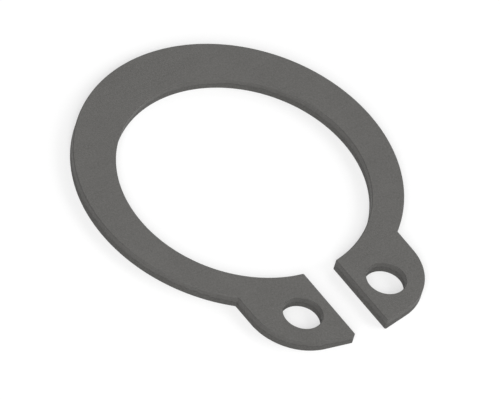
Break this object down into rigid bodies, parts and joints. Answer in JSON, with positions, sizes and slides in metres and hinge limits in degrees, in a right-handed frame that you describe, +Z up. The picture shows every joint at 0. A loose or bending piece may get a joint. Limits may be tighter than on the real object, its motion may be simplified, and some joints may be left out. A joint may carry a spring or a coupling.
{
  "type": "external circlip",
  "caption": "Flat open spring ring that snaps into a groove in a shaft, with a tapered bow and two eyes for circlip pliers.",
  "frame": {"origin": "centre of the bore at the underside of the ring, which is the plane that it lies on", "axes": "+Z up through the ring's thickness, along the shaft it grips; the slot and the two eyes are at the front, towards -Y"},
  "size_m": [0.0124, 0.0146, 0.0005],
  "materials": {
    "spring_steel": "fine dark phosphate coat on hardened spring steel, satin to matt"
  },
  "bodies": {
    "root": {"circlip": "spring_steel"}
  },
  "joints": []
}
